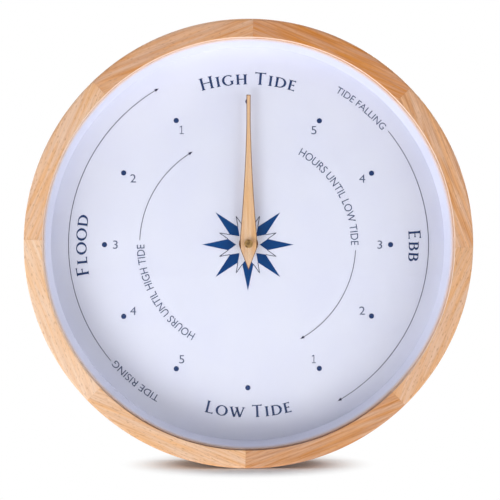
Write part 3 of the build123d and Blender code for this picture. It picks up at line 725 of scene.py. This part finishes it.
def drawn_metal():
    """Metal with marks drawn out along one axis, and patches where its bloom is duller."""
    tree, given, result = shader_group(
        "drawn_metal",
        {"Vector": "Vector", "Colour": "Color", "Bloom": "Color", "Rough": "Float"},
        {"Color": "Color", "Roughness": "Float", "Height": "Float"},
    )
    marks = noise(tree, stretched(tree, given["Vector"], marks_scale), 0.0, 3.0)
    patch = noise(tree, stretched(tree, given["Vector"], patch_scale), 5.0, 3.0)
    return finish_group(tree, result, {
        "Color": colour_mix(tree, ramp(tree, patch, 0.35, 0.75), given["Colour"], given["Bloom"]),
        "Roughness": maths(tree, "ADD", given["Rough"], ramp(tree, patch, 0.3, 0.8, -0.05, 0.12)),
        "Height": marks,
    })


drawn = drawn_metal()


def metal(name, *names, colour, bloom, rough, bump, metallic=1.0):
    """A metal finish, given to CAD nodes."""
    material, tree, shader = finish_material(name, metallic=metallic)
    place_group(
        tree, drawn, shader, bump=bump,
        Vector=object_point(tree), Colour=colour, Bloom=bloom, Rough=rough,
    )
    dress(material, *names)


metal("zinc_steel", "framer_points", "hanger_bracket", "cover_screws",
      colour=ink(196, 198, 200), bloom=ink(168, 172, 176), rough=0.34, bump=0.10)


# Movement case: a square black tray with a cover, moulded in glass-filled plastic with a spark-eroded grain.
# The setting knob and the minute wheel that goes with it are of a grey plastic.
# A soft rubber washer lies between the case and the board.
moulded("black_plastic", "movement_case", "movement_cover",
        colour=ink(34, 34, 36), shade=ink(40, 40, 42), rough=0.55, scale=2200.0, bump=0.30)
moulded("grey_plastic", "setting_knob", "minute_wheel",
        colour=ink(66, 66, 70), shade=ink(74, 74, 78), rough=0.5, scale=2200.0, bump=0.20)
moulded("rubber", "rubber_washer",
        colour=ink(30, 30, 31), shade=ink(38, 38, 38), rough=0.85, scale=1600.0, bump=0.25)


# White wheels, bridge and bobbin: moulded in acetal, slightly see-through at the teeth.
# The wheels turn between the case, the bridge and the cover, and the bobbin carries the coil.
moulded("white_acetal", "gear_bridge", "coil_bobbin", "rotor_pinion",
        "tide_wheel", "centre_wheel", "third_wheel", "fourth_wheel", "fifth_wheel",
        colour=ink(232, 231, 224), shade=ink(224, 222, 212), rough=0.38, scale=1800.0, bump=0.06,
        subsurface_weight=0.1, subsurface_scale=0.001)


# Stepping motor: a stamped soft-iron stator and core, a ferrite rotor, and a coil of enamelled copper wire.
# The fine turns of the wire show as bands across the winding.
wire_turns_scale = 900.0
copper_dark = ink(150, 78, 44)
copper_pale = ink(222, 132, 84)
metal("soft_iron", "stator", "coil_core",
      colour=ink(168, 168, 170), bloom=ink(140, 140, 144), rough=0.42, bump=0.15)
moulded("magnet", "rotor_magnet",
        colour=ink(62, 62, 66), shade=ink(52, 52, 56), rough=0.6, scale=2600.0, bump=0.2)
material, tree, shader = finish_material("copper_wire", metallic=1.0)
turns_wave = add_node(
    tree, "TexWave", {"Vector": object_point(tree), "Scale": wire_turns_scale, "Distortion": 0.4},
    bands_direction="Z", wave_profile="SIN",
).outputs[1]
copper = colour_mix(tree, turns_wave, copper_dark, copper_pale)
tree.links.new(copper, shader.inputs["Base Color"])
tree.links.new(ramp(tree, turns_wave, 0.0, 1.0, 0.45, 0.25), shader.inputs["Roughness"])
add_bump(tree, shader, turns_wave, strength=0.6, depth=bump_depth / 2)
dress(material, "coil_winding")


# Circuit board: green laminate with a drop of black resin over the chip, and a nickel can for the crystal.
# The leaf contacts of the battery are nickel plated too.
moulded("circuit_laminate", "circuit_board",
        colour=ink(46, 98, 58), shade=ink(36, 84, 48), rough=0.4, scale=1400.0, bump=0.10)
moulded("black_resin", "chip_cap",
        colour=ink(22, 22, 23), shade=ink(28, 28, 29), rough=0.22, scale=900.0, bump=0.04)
metal("nickel", "quartz_crystal", "positive_contact", "negative_contact",
      colour=ink(214, 210, 202), bloom=ink(196, 192, 184), rough=0.22, bump=0.05)


# Battery: one AA cell in a plain dark sleeve, with a pale band round its positive end and bare metal ends.
# It lies across the bottom of the movement and lifts out of its bay.
battery_low, battery_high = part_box("battery")
band_width = 0.012
cap_width = 0.0022
band_pale = ink(196, 198, 202)
bare_metal = ink(206, 206, 204)
material, tree, shader = finish_material("battery_shell")
sleeve = place_group(
    tree, even, shader, bump=0.03,
    Vector=object_point(tree), Scale=900.0, Colour=ink(52, 56, 64), Shade=ink(60, 64, 72), Rough=0.32,
)
along = add_node(tree, "SeparateXYZ", {0: object_point(tree)}).outputs[0]
pale_band = maths(tree, "GREATER_THAN", along, battery_high.x - band_width)
bare = maths(
    tree, "MAXIMUM",
    maths(tree, "GREATER_THAN", along, battery_high.x - cap_width),
    maths(tree, "LESS_THAN", along, battery_low.x + cap_width / 2),
)
banded = colour_mix(tree, pale_band, sleeve.outputs["Color"], band_pale)
tree.links.new(colour_mix(tree, bare, banded, bare_metal), shader.inputs["Base Color"])
tree.links.new(bare, shader.inputs["Metallic"])
dress(material, "battery")


# Brass pieces: the threaded bush and its ring nut, the hand's bush and tube, and the cannon pinion.
# They are turned from bar and left bare, so their brass has dulled to an olive brown.
metal("brass", "threaded_bush", "ring_nut", "hand_bush", "hand_tube", "cannon_pinion",
      colour=ink(212, 170, 104), bloom=ink(112, 80, 44), rough=0.50, bump=0.20, metallic=0.55)


# Tide hand: cut by laser from a thin sheet of pale beech, which leaves its edges browned.
# It has a square tip, a round hub and a pointed tail, and is pressed on the tube over a brass bush.
hand_low, hand_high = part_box("tide_hand")
tube_low, tube_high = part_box("hand_tube")
hand_pivot = (tube_low + tube_high) / 2
hand_length = hand_high.z - hand_pivot.z
hand_tail = hand_pivot.z - hand_low.z
hand_hub = (hand_high.x - hand_low.x) / 2
hand_tip_half, hand_waist_half, hand_root_half, hand_tail_half = 0.0012, 0.0021, 0.0050, 0.0048
hand_root_share, hand_waist_share, hand_taper_share, hand_tail_share = 0.035, 0.52, 0.80, 0.20
hand_point_half = 0.00003
arris = 0.00012
arris_share = 0.08
arris_turns = np.radians([0, 30, 60, 90])
edge_insets = np.array([1.0, 0.0022, 0.0012, 0.0007, 0.0004, 0.0002])
inset_shares = np.array([1.0, 0.6, 0.45, 0.32, 0.2, 0.1])
tail_steps, hub_steps, blade_steps = 24, 61, 110
burn_scale = (900, 900, 900)
burn_wander = -0.0003
burn_dark, burn_end = 0.00002, 0.00042
burn_brown = ink(104, 62, 34)


def arc_through(first, middle, last):
    """The circle through three points: its middle is as far from the first as from each of the others."""
    chords = 2 * np.array([np.subtract(middle, first), np.subtract(last, first)])
    sums = [np.dot(middle, middle) - np.dot(first, first), np.dot(last, last) - np.dot(first, first)]
    centre = np.linalg.solve(chords, sums)
    return centre, math.hypot(*np.subtract(first, centre))


def hand_half_width(height):
    """Half the width at heights over the pivot: of tail, arced blade and tip, then of these with the hub."""
    root = (hand_root_half, hand_root_share * hand_length)
    waist = (hand_waist_half, hand_waist_share * hand_length)
    taper = (hand_tip_half, hand_taper_share * hand_length)
    (x, y), radius = arc_through(root, waist, taper)
    blade = x - np.sqrt(np.maximum(radius ** 2 - (height - y) ** 2, 0))
    straight = np.interp(
        height,
        [-hand_tail, -hand_tail_share * hand_tail, root[1]],
        [hand_point_half, hand_tail_half, hand_root_half],
    )
    half = np.where(height < root[1], straight, np.where(height > taper[1], hand_tip_half, blade))
    return half, np.maximum(half, np.sqrt(np.maximum(hand_hub ** 2 - height ** 2, 0)))


def hand_mesh():
    """Sections across the hand at each height: a front and a back from edge to edge, with rounded arrises."""
    hub_turn = np.linspace(-math.pi / 2, math.pi / 2, hub_steps)
    heights = np.concatenate([
        np.linspace(-hand_tail, -hand_hub, tail_steps),
        hand_hub * np.sin(hub_turn[1:-1]),
        np.linspace(hand_hub, hand_length, blade_steps),
    ])
    blade_half, half = hand_half_width(heights)
    inset = np.minimum(edge_insets[None, :], half[:, None] * inset_shares)
    rounding = np.minimum(arris, half * arris_share)[:, None]
    rounded = half[:, None] - rounding * (1 - np.sin(arris_turns))
    x_half = np.concatenate([half[:, None] - inset, rounded], axis=1)
    drop = np.concatenate([np.zeros_like(inset), rounding * (1 - np.cos(arris_turns))], axis=1)
    across = np.concatenate([-x_half[:, :0:-1], x_half], axis=1)
    lower = np.concatenate([drop[:, :0:-1], drop], axis=1)
    upright = np.broadcast_to(heights[:, None], across.shape)
    front = np.stack([across, hand_low.y + lower, upright], axis=-1)
    back = np.stack([across, hand_high.y - lower, upright], axis=-1)
    grid = np.concatenate([front, back[:, ::-1]], axis=1)
    rows, columns = grid.shape[:2]
    points = grid.reshape(-1, 3) + (hand_pivot.x, 0, hand_pivot.z)
    row = columns * np.arange(rows - 1)[:, None]
    column = np.arange(columns)[None, :]
    following = (column + 1) % columns
    above = row + columns
    walls = np.stack([row + column, row + following, above + following, above + column], axis=-1)
    half_columns = columns // 2
    pair = np.arange(half_columns - 1)
    caps = np.stack([pair, pair + 1, columns - 2 - pair, columns - 1 - pair], axis=-1)
    faces = np.concatenate([walls.reshape(-1, 4), caps, caps + columns * (rows - 1)])
    rim = np.concatenate([blade_half[:, None] - np.abs(across)] * 2, axis=1)
    rim[:, half_columns:] = rim[:, half_columns:][:, ::-1]
    end = np.minimum(rim, (hand_length - heights)[:, None])
    return points, faces, end.reshape(-1)


points, faces, rim_distance = hand_mesh()
material, tree, shader = finish_material("pale_beech", specular_ior_level=0.3)
local = turned_point(tree, hand_pivot, math.pi / 2)
grain = place_group(
    tree, wood, shader, bump=0.2,
    Vector=local, Seed=20.0, Bow=0.1, Fleck=0.15,
    Pale=ink(243, 203, 160), Dark=ink(225, 177, 132), Pore=ink(170, 120, 74),
)
rim = add_node(tree, "Attribute", {}, attribute_name="rim").outputs["Fac"]
ragged = noise(tree, stretched(tree, object_point(tree), burn_scale), 3.0, 3.0)
burnt = ramp(tree, maths(tree, "MULTIPLY_ADD", ragged, burn_wander, rim), burn_dark, burn_end, 1.0, 0.0)
charred = colour_mix(tree, burnt, grain.outputs["Color"], burn_brown)
tree.links.new(charred, shader.inputs["Base Color"])
hand = add_piece("tide_hand_blade", points, faces, material, "hand", "pale_beech", smooth=True)
rim_layer = hand.data.attributes.new("rim", "FLOAT", "POINT")
rim_layer.data.foreach_set("value", rim_distance.astype(np.float32))
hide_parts("tide_hand")


# Floor: a plain white table top, on which the clock stands on the lowest point of its ring.
# Near the clock it takes its shadow, and further off it is as white as the backdrop.
# Lamplight passes up through it, and a small sheet below it shades the place where the clock stands.
floor_half = 6.0
shadow_near, shadow_far = 0.030, 0.067
shadow_stretch = (0.88, 1.0, 1.0)
contact_white = 0.04
under_drop = 0.0004
under_half = 0.15


def level_sheet(name, left, front, right, back, height):
    """A level rectangle of the stage, from left to right and from front to back."""
    corners = [(left, front, height), (right, front, height), (right, back, height), (left, back, height)]
    mesh = bpy.data.meshes.new(name)
    mesh.from_pydata(corners, [], [(0, 1, 2, 3)])
    sheet = bpy.data.objects.new(name, mesh)
    bpy.context.scene.collection.objects.link(sheet)
    return sheet


floor = level_sheet("floor", -floor_half, -floor_half, floor_half, floor_half, cad_low.z)
floor.visible_shadow = False
floor.visible_glossy = False
level_sheet("under_floor", -under_half, cad_low.y, under_half, cad_high.y, cad_low.z - under_drop)
material, tree, shader = finish_material(
    "white_table", base_color=ink(242, 242, 242), roughness=0.9, specular_ior_level=0.0,
)
nearer = stretched(tree, object_point(tree), shadow_stretch)
under_ring = (0, ring_middle.y, cad_low.z)
away = add_node(tree, "VectorMath", {0: nearer, 1: under_ring}, operation="DISTANCE").outputs[1]
direct = tree.nodes.new("ShaderNodeLightPath").outputs["Is Camera Ray"]
far = maths(tree, "MULTIPLY", ramp(tree, away, shadow_near, shadow_far, contact_white), direct)
white = add_node(tree, "Emission", {"Color": (1, 1, 1, 1), "Strength": 1.0}).outputs[0]
table = add_node(tree, "MixShader", {0: far, 1: shader.outputs[0], 2: white}).outputs[0]
tree.links.new(table, tree.nodes["Material Output"].inputs["Surface"])
floor.data.materials.append(material)


# Light: three soft lamps low in front, as light comes up from a white table, one above and two behind.
# Glass and metal don't show the lamps in front. The backdrop is white, and they show its rear half.
# In front of the clock they show a dim room, so that the pane stays clear.
room_colour = (0.80, 0.84, 1.0, 1.0)
room_strength = 0.18
backdrop_start, backdrop_full = 0.0, 0.4


def soft_lamp(name, place, target, size, power, mirrored):
    """A square lamp that faces a point, and that glass and metal show where it is mirrored."""
    lamp = bpy.data.lights.new(name, "AREA")
    lamp.size = size
    lamp.energy = power
    holder = bpy.data.objects.new(name, lamp)
    holder.location = place
    holder.rotation_euler = (target - holder.location).to_track_quat("-Z", "Y").to_euler()
    holder.visible_glossy = mirrored
    bpy.context.scene.collection.objects.link(holder)


soft_lamp("right_lamp", (1.0, -0.75, -0.44), dial_middle, size=1.15, power=10.8, mirrored=False)
soft_lamp("left_lamp", (-1.0, -0.77, -0.40), dial_middle, size=0.62, power=7.3, mirrored=False)
soft_lamp("low_lamp", (-0.51, -0.86, -0.89), dial_middle, size=0.6, power=7.8, mirrored=False)
soft_lamp("top_lamp", (0.0, 0.10, 1.0), ring_middle, size=0.9, power=7.0, mirrored=True)
soft_lamp("back_right_lamp", (0.75, 1.0, 0.35), dial_middle, size=0.9, power=9.0, mirrored=True)
soft_lamp("back_left_lamp", (-0.85, 0.95, 0.05), dial_middle, size=0.6, power=5.0, mirrored=True)
world = bpy.data.worlds.new("white_room")
bpy.context.scene.world = world
world.use_nodes = True
# The world isn't sampled as a lamp, so that the lamps keep their share of the light behind the pane.
world.cycles.sampling_method = "NONE"
tree = world.node_tree
dim = tree.nodes["Background"]
dim.inputs["Color"].default_value = room_colour
dim.inputs["Strength"].default_value = room_strength
bright = add_node(tree, "Background", {"Color": (1, 1, 1, 1), "Strength": 1.0}).outputs[0]
way = tree.nodes.new("ShaderNodeTexCoord").outputs["Generated"]
backward = add_node(tree, "SeparateXYZ", {0: way}).outputs[1]
backdrop = ramp(tree, backward, backdrop_start, backdrop_full)
path = tree.nodes.new("ShaderNodeLightPath").outputs
mirrored = maths(tree, "MAXIMUM", path["Is Glossy Ray"], path["Is Transmission Ray"])
unscattered = maths(tree, "LESS_THAN", path["Diffuse Depth"], 0.5)
shown = maths(tree, "MULTIPLY", maths(tree, "MULTIPLY", mirrored, unscattered), backdrop)
seen = maths(tree, "MAXIMUM", path["Is Camera Ray"], shown)
room = add_node(tree, "MixShader", {0: seen, 1: dim.outputs[0], 2: bright}).outputs[0]
tree.links.new(room, tree.nodes["World Output"].inputs["Surface"])
bpy.context.scene.view_settings.view_transform = "Standard"


# Camera: a metre in front of the frame, level with the middle of the dial and a little left of it.
# A long lens aims just below and right of the middle, as the photograph is cut.
camera_left = 0.030
camera_distance = 1.0
aim_right, aim_below = 0.00036, 0.00363
camera_place = Vector((-camera_left, cad_low.y - camera_distance, dial_middle.z))
camera_target = Vector((aim_right, cad_low.y, dial_middle.z - aim_below))
lens = bpy.data.cameras.new("camera")
lens.lens = 124.8
lens.sensor_width = 36.0
camera = bpy.data.objects.new("camera", lens)
camera.location = camera_place
facing = camera_target - camera_place
camera.rotation_euler = facing.to_track_quat("-Z", "Y").to_euler()
bpy.context.scene.collection.objects.link(camera)
bpy.context.scene.camera = camera
